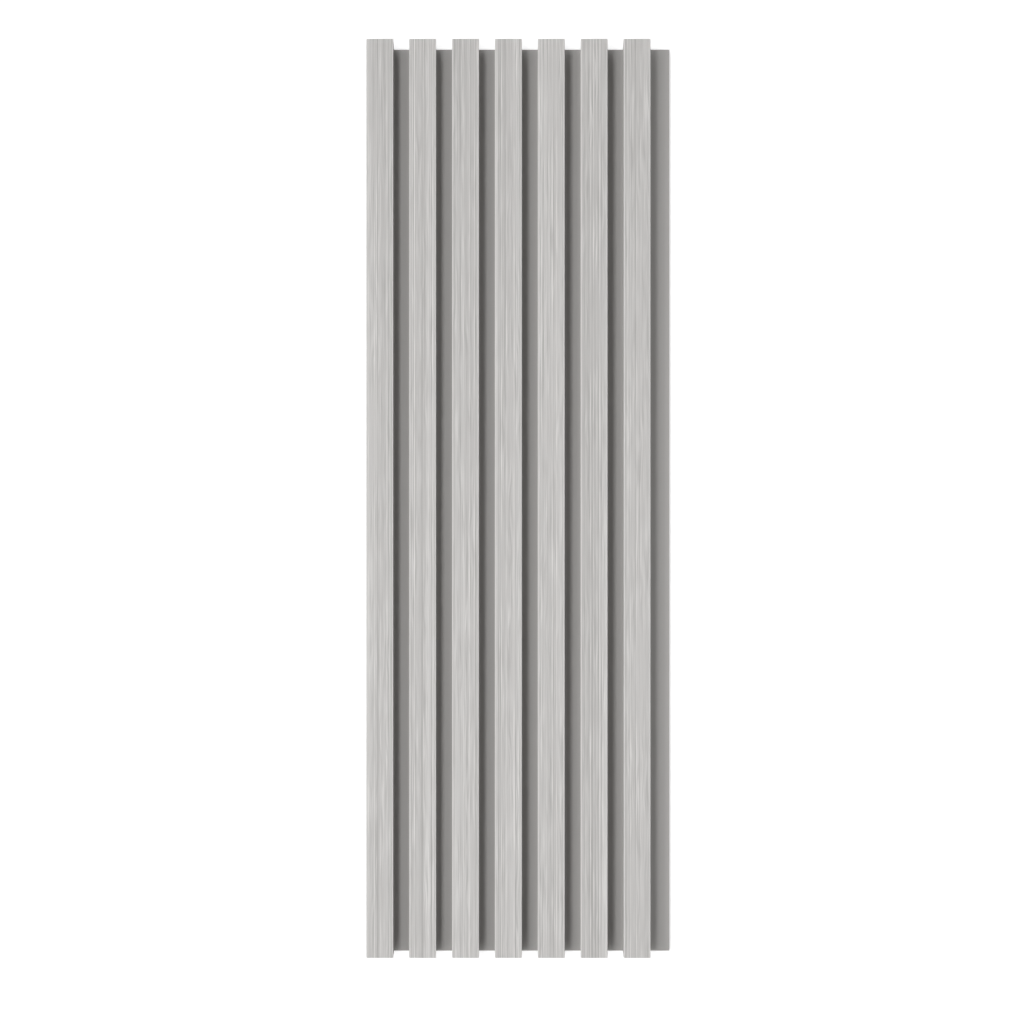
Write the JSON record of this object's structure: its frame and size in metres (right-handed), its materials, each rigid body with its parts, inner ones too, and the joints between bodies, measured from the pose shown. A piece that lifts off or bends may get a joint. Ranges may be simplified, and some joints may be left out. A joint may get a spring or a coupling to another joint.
{
  "type": "pvc cladding panel",
  "caption": "Slatted PVC wall cladding panel: hollow slats with sharp edges, slightly undercut sides and streaked fronts on a plain grooved floor, with a lap joint along its long edges.",
  "frame": {"origin": "middle of the panel's back, at the bottom centre of its box", "axes": "+X across the slats from the rebated edge to the tongue, +Y along the slats, +Z out of the wall, from the back to the slat fronts"},
  "size_m": [0.3, 0.9, 0.024],
  "materials": {
    "cladding_panel": "matt light grey extruded PVC with fine lengthwise streaks on the slat fronts"
  },
  "bodies": {
    "root": {"cladding_panel": "cladding_panel"}
  },
  "joints": []
}
